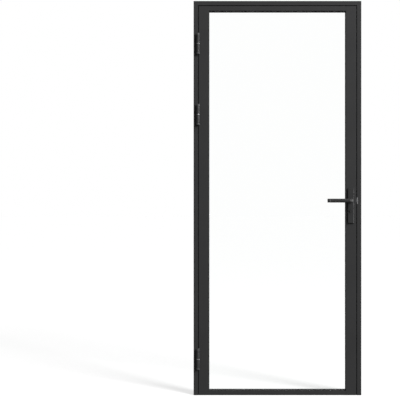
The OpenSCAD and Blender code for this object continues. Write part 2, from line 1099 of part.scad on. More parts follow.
module back_lever() {
    color(fitting_black)
        at_lock()
            translate([backset, 0, 0])
                mirror([0, 1, 0])
                    lever();
}

// Screws under the levers' necks, which clamp them on the spindle
module lever_screws() {
    drop = lever_d / 2 - lever_screw_sunk;
    color(bright_steel)
        at_lock()
            translate([backset, 0, 0])
                for (side = [0, 1])
                    mirror([0, side, 0])
                        difference() {
                            lever_screw_bar(drop);
                            translate([0, lever_screw_y, -drop])
                                rotate([0, -90, 0])
                                    cross_recess();
                        }
}

module spindle() {
    color(bright_steel)
        at_lock()
            translate([backset, 0, 0])
                spindle_bar(0);
}

// Outline of the follower's hub, arm and round nose
module follower_outline() {
    circle(hub_r);
    rotate(-arm_start) {
        flat([-arm_w / 2, 0], [arm_w / 2, arm_r]);
        translate([0, arm_r])
            circle(nose_r);
    }
}

// Hub on the spindle, with an arm whose round nose draws the latch bolt
module follower() {
    hub_half = case_t / 2 - case_wall - fit;
    color(bright_steel)
        at_lock()
            translate([backset, 0, 0])
                difference() {
                    union() {
                        bar_y(2 * hub_journal_r, -case_t / 2, case_t / 2);
                        run_y(-hub_half, hub_half)
                            follower_outline();
                    }
                    spindle_bar(fit / 2);
                }
}

// Latch bolt with a bevelled nose, and a hooked tail that passes over the follower
module latch_bolt() {
    half = bolt_t / 2;
    color(bright_steel)
        at_lock()
            difference() {
                run_y(-half, half)
                    polygon([
                        [-latch_out, -latch_h / 2], [latch_end, -latch_h / 2],
                        [latch_end, tail_low], [hook_u, tail_low], [hook_u, hook_low],
                        [hook_u + hook_t, hook_low], [hook_u + hook_t, tail_low + tail_t],
                        [latch_end - hook_t, tail_low + tail_t], [latch_end - hook_t, latch_h / 2],
                        [-latch_out, latch_h / 2]
                    ]);
                run_z(-latch_h, latch_h)
                    polygon([
                        [-latch_out - past, half + past], [-latch_out - past, half - latch_bevel],
                        [-latch_out, half - latch_bevel], [latch_bevel - latch_out, half],
                        [latch_bevel - latch_out, half + past]
                    ]);
            }
}

// Deadbolt, drawn back into the lock, with a talon over the cylinder's cam
module deadbolt() {
    half = bolt_t / 2;
    color(bright_steel)
        at_lock() {
            box([deadbolt_rest, -half, deadbolt_top - deadbolt_h],
                [deadbolt_end, half, deadbolt_top]);
            box([deadbolt_end - talon_w, -half, talon_low],
                [deadbolt_end, half, deadbolt_top - deadbolt_h]);
        }
}

// Plug at the front of the cylinder, with its keyway
module plug() {
    difference() {
        bar_y(plug_d, -cylinder_half, -cam_t / 2);
        box([-keyway_w / 2, -cylinder_half - past, -keyway_h + plug_d / 2 - 1],
            [keyway_w / 2, -cam_t, plug_d / 2 - 1]);
    }
}

module front_plug() {
    color(fitting_black)
        at_lock()
            translate([backset, 0, -cylinder_drop])
                plug();
}

module back_plug() {
    color(fitting_black)
        at_lock()
            translate([backset, 0, -cylinder_drop])
                mirror([0, 1, 0])
                    plug();
}

module cylinder_cam() {
    tooth_w = 7;
    color(bright_steel)
        at_lock()
            translate([backset, 0, -cylinder_drop])
                intersection() {
                    bar_y(2 * cam_r, -cam_t / 2, cam_t / 2);
                    union() {
                        bar_y(plug_d + 2, -cam_t / 2, cam_t / 2);
                        box([-tooth_w / 2, -cam_t / 2, -cam_r], [tooth_w / 2, cam_t / 2, 0]);
                    }
                }
}

hinge_jamb();
lock_jamb();
head_jamb();
rebate_seal();
strike_plate();
strike_backing();
strike_screws();
lower_knuckle_top();
lower_knuckle_middle();
lower_knuckle_bottom();
hinge_pin_top();
hinge_pin_middle();
hinge_pin_bottom();
hinge_ring_top();
hinge_ring_middle();
hinge_ring_bottom();
hinge_stile();
lock_stile();
top_rail();
bottom_rail();
glass_pane();
setting_blocks();
front_gasket();
back_gasket();
bead_top();
bead_bottom();
bead_hinge_side();
bead_lock_side();
bead_studs();
upper_knuckle_top();
upper_knuckle_middle();
upper_knuckle_bottom();
lock_case();
lock_cover();
lock_forend();
lock_lugs();
forend_screws();
cylinder_body();
cylinder_screw();
front_plate();
back_plate();
plate_bolts();
front_lever();
back_lever();
lever_screws();
spindle();
follower();
latch_bolt();
deadbolt();
front_plug();
back_plug();
cylinder_cam();
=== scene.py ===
# %% [markdown]
# # A glass door in its steel frame
# The door was drawn as solids first: hollow black profiles, one clear pane, three barrel hinges,
# a lever on a long plate and the lock inside the stile. This lesson dresses those solids. It sets up
# the camera and a white studio, makes a finish for each material, softens the edges that catch the
# light, and adds the small worked details that a solid model leaves out. All sizes are in metres.

# %% Load the door
import json
import math

import bpy
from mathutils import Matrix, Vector


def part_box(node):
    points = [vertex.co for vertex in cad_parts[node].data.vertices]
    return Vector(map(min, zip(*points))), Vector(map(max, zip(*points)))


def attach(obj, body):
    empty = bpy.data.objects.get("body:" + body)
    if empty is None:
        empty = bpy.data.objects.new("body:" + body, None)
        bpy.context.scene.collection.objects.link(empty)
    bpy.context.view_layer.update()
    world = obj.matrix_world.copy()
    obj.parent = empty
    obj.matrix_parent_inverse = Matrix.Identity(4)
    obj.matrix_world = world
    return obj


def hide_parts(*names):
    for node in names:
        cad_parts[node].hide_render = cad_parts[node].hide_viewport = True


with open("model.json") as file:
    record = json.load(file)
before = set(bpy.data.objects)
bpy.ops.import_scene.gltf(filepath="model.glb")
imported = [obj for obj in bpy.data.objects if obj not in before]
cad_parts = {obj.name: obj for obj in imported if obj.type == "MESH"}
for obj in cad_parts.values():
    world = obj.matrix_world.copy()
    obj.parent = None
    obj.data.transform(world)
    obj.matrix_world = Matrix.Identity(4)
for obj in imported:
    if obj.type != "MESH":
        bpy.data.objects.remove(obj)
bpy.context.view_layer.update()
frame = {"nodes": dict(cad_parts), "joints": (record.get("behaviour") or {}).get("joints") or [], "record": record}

nodes = frame["nodes"]
bpy.ops.object.select_all(action="DESELECT")

# %% [markdown]
# ## Camera
# The photograph looks straight at the door without tilt, and the door stands right of the middle.
# So the camera is level, at half the picture's height. Slivers of the reveals show on both sides of
# the glass, so the camera stands between the stiles, and a lens shift moves the frame to the left.

# %% Camera straight in front, left of the door
sensor_width = 36.0
view_distance, view_width = 4.65, 2.1456
view_middle, eye_x, eye_z = -0.4155, -0.171, 1.0473
front_of_frame = -0.025

camera_data = bpy.data.cameras.new("camera")
camera_data.sensor_width = sensor_width
camera_data.lens = sensor_width * view_distance / view_width
camera_data.shift_x = (view_middle - eye_x) / view_width
camera_data.clip_end = 200.0
camera = bpy.data.objects.new("camera", camera_data)
bpy.context.scene.collection.objects.link(camera)
camera.location = (eye_x, front_of_frame - view_distance, eye_z)
camera.rotation_euler = (math.pi / 2, 0.0, 0.0)
bpy.context.scene.camera = camera
bpy.context.scene.view_settings.view_transform = "Standard"
print("lens:", round(camera_data.lens, 1), "mm")

# %% [markdown]
# ## White studio
# The picture's ground and background are one white. A white world bright enough for that would wash
# the black out, so the world asks what kind of ray it meets: it is white to the camera and through
# glass, weaker in reflections, and weakest as a light. The floor does the same, and it still takes the
# long soft shadow, because the key lamp is a low sun with a wide disc.

# %% World: white to look at, softer as a light
fill_strength, white_strength = 0.2, 1.0
mirror_share = 0.4


def math_node(tree, operation, *values):
    """A Math node; a value is a number or a socket to link."""
    node = tree.nodes.new("ShaderNodeMath")
    node.operation = operation
    for i, value in enumerate(values):
        if isinstance(value, (int, float)):
            node.inputs[i].default_value = value
        else:
            tree.links.new(value, node.inputs[i])
    return node.outputs[0]


def seen_directly(tree):
    """1 for rays from the camera or through glass, a share of 1 for reflected ones, 0 for the rest."""
    path = tree.nodes.new("ShaderNodeLightPath")
    mirrored = math_node(tree, "MULTIPLY", path.outputs["Is Glossy Ray"], mirror_share)
    looked_at = math_node(tree, "MAXIMUM", path.outputs["Is Camera Ray"], mirrored)
    return math_node(tree, "MAXIMUM", looked_at, path.outputs["Is Transmission Ray"])


def choose_shader(tree, factor, first, second, output):
    """Sends the first shader to an output where the factor is 0, and the second where it is 1."""
    choose = tree.nodes.new("ShaderNodeMixShader")
    tree.links.new(factor, choose.inputs["Fac"])
    tree.links.new(first, choose.inputs[1])
    tree.links.new(second, choose.inputs[2])
    tree.links.new(choose.outputs[0], output.inputs["Surface"])


def white_background(tree, strength):
    """A white background of a strength."""
    node = tree.nodes.new("ShaderNodeBackground")
    node.inputs["Color"].default_value = (1.0, 1.0, 1.0, 1.0)
    node.inputs["Strength"].default_value = strength
    return node.outputs[0]


world = bpy.data.worlds.new("white_studio")
bpy.context.scene.world = world
world.use_nodes = True
tree = world.node_tree
tree.nodes.clear()
choose_shader(tree, seen_directly(tree), white_background(tree, fill_strength),
              white_background(tree, white_strength), tree.nodes.new("ShaderNodeOutputWorld"))
print("world: fill", fill_strength, "white", white_strength)

# %% Key lamp: low, from the front right
key_side, key_height, key_disc = math.radians(48.0), math.radians(27.0), math.radians(18.0)

key_data = bpy.data.lights.new("key_sun", "SUN")
key_data.energy = 3.15
key_data.angle = key_disc
key = bpy.data.objects.new("key_sun", key_data)
bpy.context.scene.collection.objects.link(key)
to_key = Vector((math.sin(key_side) * math.cos(key_height), -math.cos(key_side) * math.cos(key_height),
                 math.sin(key_height)))
key.rotation_euler = to_key.to_track_quat("Z", "Y").to_euler()
print("key lamp from", [round(c, 2) for c in to_key])

# %% [markdown]
# ## Lamps around the door
# A sun alone leaves black profiles flat. A soft box above the lock side lights the lever's bend, a
# strip beside each edge of the door draws a thin line along the profiles, and a box behind shows the
# back when the door is turned. They could all be suns, but a lamp of real size gives a soft highlight.

# %% Soft box, two strips and a box behind
def area_lamp(name, watts, width, height, place, target):
    """A rectangular lamp at a place, turned to a target."""
    data = bpy.data.lights.new(name, "AREA")
    data.shape = "RECTANGLE"
    data.size, data.size_y = width, height
    data.energy = watts
    lamp = bpy.data.objects.new(name, data)
    bpy.context.scene.collection.objects.link(lamp)
    lamp.location = place
    lamp.rotation_euler = (Vector(target) - lamp.location).to_track_quat("-Z", "Y").to_euler()
    print("lamp:", name, watts, "W")
    return lamp


soft_box = area_lamp("soft_box", watts=62.0, width=1.5, height=1.5,
                     place=(1.6, -2.0, 3.6), target=(0.3, 0.0, 1.9))
side_strip = area_lamp("side_strip", watts=56.0, width=0.5, height=2.0,
                       place=(2.6, -0.15, 1.2), target=(0.4, -0.05, 1.1))
hinge_strip = area_lamp("hinge_strip", watts=36.0, width=0.2, height=2.0,
                        place=(-2.6, 0.1, 1.2), target=(-0.45, 0.0, 1.1))
back_box = area_lamp("back_box", watts=190.0, width=1.6, height=1.6,
                     place=(0.0, 3.8, 2.6), target=(0.0, 0.0, 1.1))

# %% [markdown]
# ## Floor
# The floor is one large sheet of paper. What the camera sees of it is partly a glow, which keeps it as
# white as the world, and partly lit paper, which takes the shadow. A glow would also shine out of the
# gap under the leaf, so it fades where something stands close above: this is a painted contact shade
# under the leaf and at the feet of the frame. Three lamps would burn out the shadow, so they spare the
# floor. The lamps are hidden, so that the glass doesn't show them, and only the strip beside the lock
# may be mirrored.

# %% Floor that shows the shadow
floor_size, floor_middle = 60.0, 20.0
lit_grey, bounced_grey, glow_strength = 0.46, 0.3, 0.7
painted_shade_reach, painted_shade_darkest_ao, painted_shade_clear_ao = 0.03, 0.15, 0.55


def paper_shader(tree, grey):
    """Dull paper of a grey."""
    node = tree.nodes.new("ShaderNodeBsdfDiffuse")
    node.inputs["Color"].default_value = (grey, grey, grey, 1.0)
    return node.outputs[0]


bpy.ops.mesh.primitive_plane_add(size=floor_size, location=(0.0, floor_middle, 0.0))
floor = bpy.context.object
floor.name = "floor"
bpy.ops.object.transform_apply(location=True, rotation=True, scale=True)
paper = bpy.data.materials.new("floor_paper")
paper.use_nodes = True
tree = paper.node_tree
tree.nodes.clear()
# Painted contact shade: the glow is dimmed by ambient occlusion wherever something stands close above the floor,
# so the gap under the leaf and the feet of the frame turn dark.
painted_contact_shade = tree.nodes.new("ShaderNodeAmbientOcclusion")
painted_contact_shade.inputs["Distance"].default_value = painted_shade_reach
glow_left_by_painted_shade = tree.nodes.new("ShaderNodeMapRange")
glow_left_by_painted_shade.inputs["From Min"].default_value = painted_shade_darkest_ao
glow_left_by_painted_shade.inputs["From Max"].default_value = painted_shade_clear_ao
glow_left_by_painted_shade.inputs["To Max"].default_value = glow_strength
tree.links.new(painted_contact_shade.outputs["AO"], glow_left_by_painted_shade.inputs["Value"])
glow = tree.nodes.new("ShaderNodeEmission")
tree.links.new(glow_left_by_painted_shade.outputs["Result"], glow.inputs["Strength"])
shown = tree.nodes.new("ShaderNodeAddShader")
tree.links.new(paper_shader(tree, lit_grey), shown.inputs[0])
tree.links.new(glow.outputs[0], shown.inputs[1])
choose_shader(tree, seen_directly(tree), paper_shader(tree, bounced_grey), shown.outputs[0],
              tree.nodes.new("ShaderNodeOutputMaterial"))
floor.data.materials.append(paper)
print("floor laid:", floor_size, "m")

# %% Hide the lamps, and keep three of them off the floor
for lamp in (soft_box, side_strip, hinge_strip, back_box):
    lamp.visible_camera = False
    lamp.visible_transmission = False
    lamp.visible_glossy = lamp == side_strip
spared = bpy.data.collections.new("spared_by_side_lamps")
spared.objects.link(floor)
spared.collection_objects[0].light_linking.link_state = "EXCLUDE"
sparing = (side_strip, hinge_strip, back_box)
for lamp in sparing:
    lamp.light_linking.receiver_collection = spared
print("lamps that spare the floor:", len(sparing))

# %% [markdown]
# ## Shared surface effects
# Several finishes need the same things: the fine pebble of a sprayed coat, a little dust on whatever
# faces up, the lines that a brush or a lathe leaves in steel, smudges where hands touch, and fine
# scuffs from use. Each is a node group, made once, and each material places it with its own values.
# A group only puts out what varies over the surface.

# %% Helpers for groups and what fills them
noise_roughness = 0.55


def new_group(name, inputs, outputs):
    """A shader group with its sockets, and coordinates to start from; inputs are (name, type, value)."""
    group = bpy.data.node_groups.new(name, "ShaderNodeTree")
    for title, kind, value in inputs:
        socket = group.interface.new_socket(name=title, in_out="INPUT", socket_type="NodeSocket" + kind)
        socket.default_value = value
    for title, kind in outputs:
        group.interface.new_socket(name=title, in_out="OUTPUT", socket_type="NodeSocket" + kind)
    given = group.nodes.new("NodeGroupInput").outputs
    result = group.nodes.new("NodeGroupOutput").inputs
    place = group.nodes.new("ShaderNodeTexCoord").outputs
    print("group:", name)
    return group, given, result, place


def noise_node(tree, vector, scale, detail):
    """A noise on the given coordinates; scale is a number or a socket."""
    node = tree.nodes.new("ShaderNodeTexNoise")
    node.inputs["Detail"].default_value = detail
    node.inputs["Roughness"].default_value = noise_roughness
    tree.links.new(vector, node.inputs["Vector"])
    if isinstance(scale, (int, float)):
        node.inputs["Scale"].default_value = scale
    else:
        tree.links.new(scale, node.inputs["Scale"])
    return node.outputs["Fac"]


def blend_colours(tree, factor, first, second):
    """A colour between two sockets or colours."""
    node = tree.nodes.new("ShaderNodeMix")
    node.data_type = "RGBA"
    tree.links.new(factor, node.inputs["Factor"])
    for socket, value in ((node.inputs[6], first), (node.inputs[7], second)):
        if isinstance(value, tuple):
            socket.default_value = value
        else:
            tree.links.new(value, socket)
    return node.outputs[2]


def blend_values(tree, first, second, first_share):
    """A share of one value and the rest of another."""
    return math_node(tree, "ADD", math_node(tree, "MULTIPLY", first, first_share),
                     math_node(tree, "MULTIPLY", second, 1.0 - first_share))


def between(tree, low, high, share):
    """The value that lies at a share of the way from low to high."""
    span = math_node(tree, "SUBTRACT", high, low)
    return math_node(tree, "ADD", low, math_node(tree, "MULTIPLY", span, share))


# %% Pebble of a sprayed coat
pebble, given, result, place = new_group(
    "sprayed_pebble",
    [("Grain Scale", "Float", 900.0), ("Dark", "Color", (0.01, 0.01, 0.01, 1.0)),
     ("Light", "Color", (0.02, 0.02, 0.02, 1.0)), ("Smooth", "Float", 0.4), ("Rough", "Float", 0.6)],
    [("Color", "Color"), ("Roughness", "Float"), ("Height", "Float")],
)
speck_share, speck_height = 0.35, 0.5
speck_scale = math_node(pebble, "MULTIPLY", given["Grain Scale"], speck_share)
grain = noise_node(pebble, place["Object"], scale=given["Grain Scale"], detail=2.0)
cloud = noise_node(pebble, place["Object"], scale=5.0, detail=3.0)
speck = noise_node(pebble, place["Object"], scale=speck_scale, detail=1.0)
tone = blend_values(pebble, cloud, speck, first_share=0.6)
height = math_node(pebble, "ADD", grain, math_node(pebble, "MULTIPLY", speck, speck_height))
pebble.links.new(blend_colours(pebble, tone, given["Dark"], given["Light"]), result["Color"])
pebble.links.new(between(pebble, given["Smooth"], given["Rough"], tone), result["Roughness"])
pebble.links.new(height, result["Height"])

# %% Dust on what faces up
def rise_over(tree, value, edge, gain):
    """0 up to an edge, and a rise over it that is as steep as the gain."""
    rise = math_node(tree, "MULTIPLY", math_node(tree, "SUBTRACT", value, edge), gain)
    return math_node(tree, "MAXIMUM", rise, 0.0)


dust, given, result, place = new_group(
    "settled_dust",
    [("Color", "Color", (0.02, 0.02, 0.02, 1.0)), ("Dust Color", "Color", (0.2, 0.19, 0.18, 1.0)),
     ("Roughness", "Float", 0.5), ("Amount", "Float", 0.2)],
    [("Color", "Color"), ("Roughness", "Float")],
)
dust_dulling = 0.5
facing = dust.nodes.new("ShaderNodeSeparateXYZ")
dust.links.new(place["Normal"], facing.inputs[0])
up = rise_over(dust, facing.outputs["Z"], edge=0.25, gain=1.0)
patch = noise_node(dust, place["Object"], scale=60.0, detail=4.0)
mask = math_node(dust, "MULTIPLY", math_node(dust, "MULTIPLY", up, patch), given["Amount"])
dulled = math_node(dust, "ADD", given["Roughness"], math_node(dust, "MULTIPLY", mask, dust_dulling))
dust.links.new(blend_colours(dust, mask, given["Color"], given["Dust Color"]), result["Color"])
dust.links.new(dulled, result["Roughness"])

# %% Lines left in steel by a brush or a lathe
def stretched(tree, vector, stretch):
    """Coordinates stretched along each axis, which draws a noise out into lines."""
    node = tree.nodes.new("ShaderNodeVectorMath")
    node.operation = "MULTIPLY"
    tree.links.new(vector, node.inputs[0])
    tree.links.new(stretch, node.inputs[1])
    return node.outputs[0]


lines, given, result, place = new_group(
    "tool_lines",
    [("Stretch", "Vector", (1.0, 1.0, 1.0)), ("Dark", "Color", (0.5, 0.5, 0.5, 1.0)),
     ("Light", "Color", (0.7, 0.7, 0.7, 1.0)), ("Smooth", "Float", 0.2), ("Rough", "Float", 0.4)],
    [("Color", "Color"), ("Roughness", "Float"), ("Height", "Float")],
)
streak = noise_node(lines, stretched(lines, place["Object"], given["Stretch"]), scale=1.0, detail=3.0)
stain = noise_node(lines, place["Object"], scale=45.0, detail=3.0)
tone = blend_values(lines, streak, stain, first_share=0.65)
lines.links.new(blend_colours(lines, tone, given["Dark"], given["Light"]), result["Color"])
lines.links.new(between(lines, given["Smooth"], given["Rough"], tone), result["Roughness"])
lines.links.new(streak, result["Height"])

# %% Smudges where hands touch
smudges, given, result, place = new_group(
    "hand_smudges",
    [("Scale", "Float", 14.0), ("Share", "Float", 0.4)],
    [("Mask", "Float")],
)
fine_factor, clean_edge, edge_drop = 6.0, 0.62, 0.3
fine_scale = math_node(smudges, "MULTIPLY", given["Scale"], fine_factor)
wide = noise_node(smudges, place["Object"], scale=given["Scale"], detail=4.0)
fine = noise_node(smudges, place["Object"], scale=fine_scale, detail=2.0)
mixed = blend_values(smudges, wide, fine, first_share=0.75)
edge = math_node(smudges, "SUBTRACT", clean_edge, math_node(smudges, "MULTIPLY", given["Share"], edge_drop))
mask = math_node(smudges, "MINIMUM", rise_over(smudges, mixed, edge, gain=5.0), 1.0)
smudges.links.new(mask, result["Mask"])

# %% Fine scuffs from use and cleaning
scuffs, given, result, place = new_group(
    "fine_scuffs",
    [("Stretch", "Vector", (40.0, 900.0, 900.0)), ("Share", "Float", 0.3)],
    [("Mask", "Float")],
)
streak = noise_node(scuffs, stretched(scuffs, place["Object"], given["Stretch"]), scale=1.0, detail=2.0)
patch = noise_node(scuffs, place["Object"], scale=11.0, detail=3.0)
thin = rise_over(scuffs, streak, edge=0.64, gain=9.0)
local = rise_over(scuffs, patch, edge=0.5, gain=6.0)
both = math_node(scuffs, "MINIMUM", math_node(scuffs, "MULTIPLY", thin, local), 1.0)
scuffs.links.new(math_node(scuffs, "MULTIPLY", both, given["Share"]), result["Mask"])

# %% [markdown]
# ## Black finishes
# The profiles are powder coated: matt, nearly black, with a fine pebble that scatters the light. The
# handle set is sprayed finer and has a satin shine, and the hinges and the lock cylinder lie between.
# All use the same pebble group with other values, and a bump from its height, because the pebble is
# far too small to model.

# %% Helpers that start a material and fill it
def new_material(name):
    """A material with its Principled shader, ready for links."""
    made = bpy.data.materials.new(name)
    made.use_nodes = True
    print("finish:", name)
    return made, made.node_tree, made.node_tree.nodes["Principled BSDF"]


def add_group(tree, group, values):
    """Places a group in a material and sets its own values."""
    node = tree.nodes.new("ShaderNodeGroup")
    node.node_tree = group
    for title, value in values.items():
        node.inputs[title].default_value = value
    return node


def add_bump(tree, shader, height, strength, depth):
    """A bump of a real depth in metres into the shader's normal."""
    bump = tree.nodes.new("ShaderNodeBump")
    bump.inputs["Strength"].default_value = strength
    bump.inputs["Distance"].default_value = depth
    tree.links.new(height, bump.inputs["Height"])
    tree.links.new(bump.outputs["Normal"], shader.inputs["Normal"])


# %% Sprayed blacks
smudge_scale, smudge_polish, scuff_share, pebble_bump = 14.0, 0.14, 0.3, 0.35
dust_colour, scuff_colour = (0.16, 0.155, 0.15, 1.0), (0.085, 0.085, 0.087, 1.0)


def sprayed_black(name, grain, dark, light, smooth, rough, specular, depth, dusty, handled, scuffed):
    """A sprayed black coat with its pebble, traces of hands and of use, and a little dust."""
    made, tree, shader = new_material(name)
    coat = add_group(tree, pebble, {"Grain Scale": grain, "Dark": dark, "Light": light,
                                    "Smooth": smooth, "Rough": rough})
    touched = add_group(tree, smudges, {"Scale": smudge_scale, "Share": handled})
    rubbed = add_group(tree, scuffs, {"Stretch": scuffed, "Share": scuff_share})
    settled = add_group(tree, dust, {"Dust Color": dust_colour, "Amount": dusty})
    worn = blend_colours(tree, rubbed.outputs["Mask"], coat.outputs["Color"], scuff_colour)
    tree.links.new(worn, settled.inputs["Color"])
    polish = math_node(tree, "MULTIPLY", touched.outputs["Mask"], smudge_polish)
    polished = math_node(tree, "SUBTRACT", coat.outputs["Roughness"], polish)
    tree.links.new(polished, settled.inputs["Roughness"])
    tree.links.new(settled.outputs["Color"], shader.inputs["Base Color"])
    tree.links.new(settled.outputs["Roughness"], shader.inputs["Roughness"])
    shader.inputs["Specular IOR Level"].default_value = specular
    add_bump(tree, shader, coat.outputs["Height"], pebble_bump, depth)
    return made


powder_black = sprayed_black(
    "powder_coat_black", grain=1100.0, dark=(0.028, 0.028, 0.0285, 1.0), light=(0.042, 0.042, 0.0425, 1.0),
    smooth=0.66, rough=0.8, specular=0.02, depth=0.00002, dusty=0.06, handled=0.2,
    scuffed=(700.0, 700.0, 30.0))
satin_black = sprayed_black(
    "satin_black_fitting", grain=2200.0, dark=(0.024, 0.024, 0.0245, 1.0), light=(0.034, 0.034, 0.0345, 1.0),
    smooth=0.25, rough=0.35, specular=0.14, depth=0.00002, dusty=0.03, handled=0.6,
    scuffed=(40.0, 1400.0, 1400.0))
hinge_black = sprayed_black(
    "hinge_coat_black", grain=1500.0, dark=(0.017, 0.017, 0.0175, 1.0), light=(0.028, 0.028, 0.0285, 1.0),
    smooth=0.4, rough=0.54, specular=0.32, depth=0.00004, dusty=0.05, handled=0.2,
    scuffed=(900.0, 900.0, 50.0))
cylinder_black = sprayed_black(
    "polished_black_cylinder", grain=2600.0, dark=(0.014, 0.014, 0.0145, 1.0), light=(0.02, 0.02, 0.0205, 1.0),
    smooth=0.24, rough=0.34, specular=0.45, depth=0.00001, dusty=0.02, handled=0.4,
    scuffed=(1600.0, 60.0, 1600.0))
cap_grey = sprayed_black(
    "hinge_cap_grey", grain=1800.0, dark=(0.03, 0.03, 0.031, 1.0), light=(0.044, 0.044, 0.045, 1.0),
    smooth=0.32, rough=0.42, specular=0.5, depth=0.00002, dusty=0.05, handled=0.2,
    scuffed=(900.0, 900.0, 50.0))

# %% [markdown]
# ## Steel, rubber and glass
# The bearing rings and the strike are bare steel. Brushed steel is not a grey paint: it is a metal
# whose roughness runs in lines, so the group is stretched along the lines. Rubber is dull, with a
# greyish bloom. The glass is clear float glass: it lets shadow rays pass, as a real clear pane does.

# %% Bare steels
tool_bump = 0.25


def bare_steel(name, stretch, dark, light, smooth, rough, depth):
    """A metal with tool lines along the axis of the small stretch value."""
    made, tree, shader = new_material(name)
    worked = add_group(tree, lines, {"Stretch": stretch, "Dark": dark, "Light": light,
                                     "Smooth": smooth, "Rough": rough})
    tree.links.new(worked.outputs["Color"], shader.inputs["Base Color"])
    tree.links.new(worked.outputs["Roughness"], shader.inputs["Roughness"])
    shader.inputs["Metallic"].default_value = 1.0
    add_bump(tree, shader, worked.outputs["Height"], tool_bump, depth)
    return made


turned_steel = bare_steel(
    "turned_steel", stretch=(120.0, 120.0, 9000.0), dark=(0.29, 0.29, 0.295, 1.0),
    light=(0.44, 0.44, 0.445, 1.0), smooth=0.22, rough=0.36, depth=0.00001)
brushed_steel = bare_steel(
    "brushed_steel", stretch=(2500.0, 2500.0, 25.0), dark=(0.46, 0.46, 0.47, 1.0),
    light=(0.8, 0.8, 0.81, 1.0), smooth=0.22, rough=0.42, depth=0.00001)
zinc_steel = bare_steel(
    "zinc_plated_steel", stretch=(300.0, 300.0, 300.0), dark=(0.40, 0.41, 0.42, 1.0),
    light=(0.60, 0.60, 0.59, 1.0), smooth=0.34, rough=0.52, depth=0.00002)

# %% Rubber
rubber_bump, rubber_depth = 0.3, 0.00005

rubber, tree, shader = new_material("gasket_rubber")
skin = add_group(tree, pebble, {"Grain Scale": 700.0, "Dark": (0.008, 0.008, 0.008, 1.0),
                                "Light": (0.022, 0.022, 0.022, 1.0), "Smooth": 0.6, "Rough": 0.85})
tree.links.new(skin.outputs["Color"], shader.inputs["Base Color"])
tree.links.new(skin.outputs["Roughness"], shader.inputs["Roughness"])
shader.inputs["Specular IOR Level"].default_value = 0.1
add_bump(tree, shader, skin.outputs["Height"], rubber_bump, rubber_depth)

# %% Clear glass
smear_roughness = 0.03

glass, tree, shader = new_material("clear_float_glass")
wiped = add_group(tree, smudges, {"Scale": 5.0, "Share": 0.5})
smeared = math_node(tree, "MULTIPLY", wiped.outputs["Mask"], smear_roughness)
tree.links.new(smeared, shader.inputs["Roughness"])
shader.inputs["Base Color"].default_value = (0.992, 0.998, 0.995, 1.0)
shader.inputs["IOR"].default_value = 1.5
shader.inputs["Specular Tint"].default_value = (0.3, 0.3, 0.3, 1.0)
shader.inputs["Transmission Weight"].default_value = 1.0
passing = tree.nodes.new("ShaderNodeBsdfTransparent")
passing.inputs["Color"].default_value = (0.925, 0.93, 0.928, 1.0)
path = tree.nodes.new("ShaderNodeLightPath")
soft_ray = math_node(tree, "MAXIMUM", path.outputs["Is Shadow Ray"], path.outputs["Is Diffuse Ray"])
choose_shader(tree, soft_ray, shader.outputs[0], passing.outputs[0], tree.nodes["Material Output"])

# %% [markdown]
# ## Finishes on the solids
# Each solid gets the finish of its real counterpart. The list is by finish, so that a piece without
# one would show up in the count at the end.

# %% Hand out the finishes
levels = ("top", "middle", "bottom")
rings = [f"hinge_ring_{level}" for level in levels]
pins = [f"hinge_pin_{level}" for level in levels]
finishes = {
    powder_black: ["hinge_jamb", "lock_jamb", "head_jamb", "hinge_stile", "lock_stile", "top_rail",
                   "bottom_rail", "bead_top", "bead_bottom", "bead_hinge_side", "bead_lock_side"],
    hinge_black: [f"{half}_knuckle_{level}" for half in ("upper", "lower") for level in levels],
    satin_black: ["front_lever", "back_lever", "front_plate", "back_plate"],
    cylinder_black: ["cylinder_body", "front_plug", "back_plug"],
    turned_steel: rings + pins + ["spindle", "follower", "cylinder_cam", "strike_screws", "forend_screws",
                                  "plate_bolts", "lever_screws", "cylinder_screw"],
    brushed_steel: ["strike_plate", "lock_forend", "latch_bolt", "deadbolt"],
    zinc_steel: ["lock_case", "lock_cover", "lock_lugs", "strike_backing", "bead_studs"],
    rubber: ["rebate_seal", "front_gasket", "back_gasket", "setting_blocks"],
    glass: ["glass_pane"],
}
finish_of = {name: finish for finish, names in finishes.items() for name in names}
for name, solid in nodes.items():
    solid.data.materials.clear()
    solid.data.materials.append(finish_of[name])
print("finished solids:", len(finish_of), "of", len(nodes))

# %% [markdown]
# ## Softened solids
# On the real door no edge is a knife edge: the levers are buffed, the plates are cast, and a thick coat
# rounds whatever it covers. The solids already hold the shapes, so each visible one is copied, its
# loose triangles are merged, and a bevel rounds what is still sharp. A bevel bends the shading of the
# flat face beside it, so the normals are then weighted by area, which keeps the face flat. The lock
# cylinder is turned with a wider rim on its round ends only, so its edges are picked by their place.

# %% Helpers that edit a piece and shade it
smooth_angle = math.radians(34.0)


def edit(piece):
    """Makes a piece the only selected one and opens it for editing with all of it selected."""
    bpy.ops.object.select_all(action="DESELECT")
    piece.select_set(True)
    bpy.context.view_layer.objects.active = piece
    bpy.ops.object.mode_set(mode="EDIT")
    bpy.ops.mesh.select_all(action="SELECT")


def smooth_rounds(piece):
    """Smooths what is round on the active piece, and keeps its large flat faces flat."""
    bpy.ops.object.shade_smooth_by_angle(angle=smooth_angle)
    flat_faces = piece.modifiers.new("flat_faces", "WEIGHTED_NORMAL")
    flat_faces.keep_sharp = True
    bpy.ops.object.modifier_apply(modifier=flat_faces.name)


# %% Round the visible solids
body_of = {name: body for body, names in frame["record"]["behaviour"]["bodies"].items() for name in names}
merge_gap, sliver = 0.000005, 0.000002
flat_angle, sharp_angle = math.radians(0.5), math.radians(32.0)
edge_sections = 3


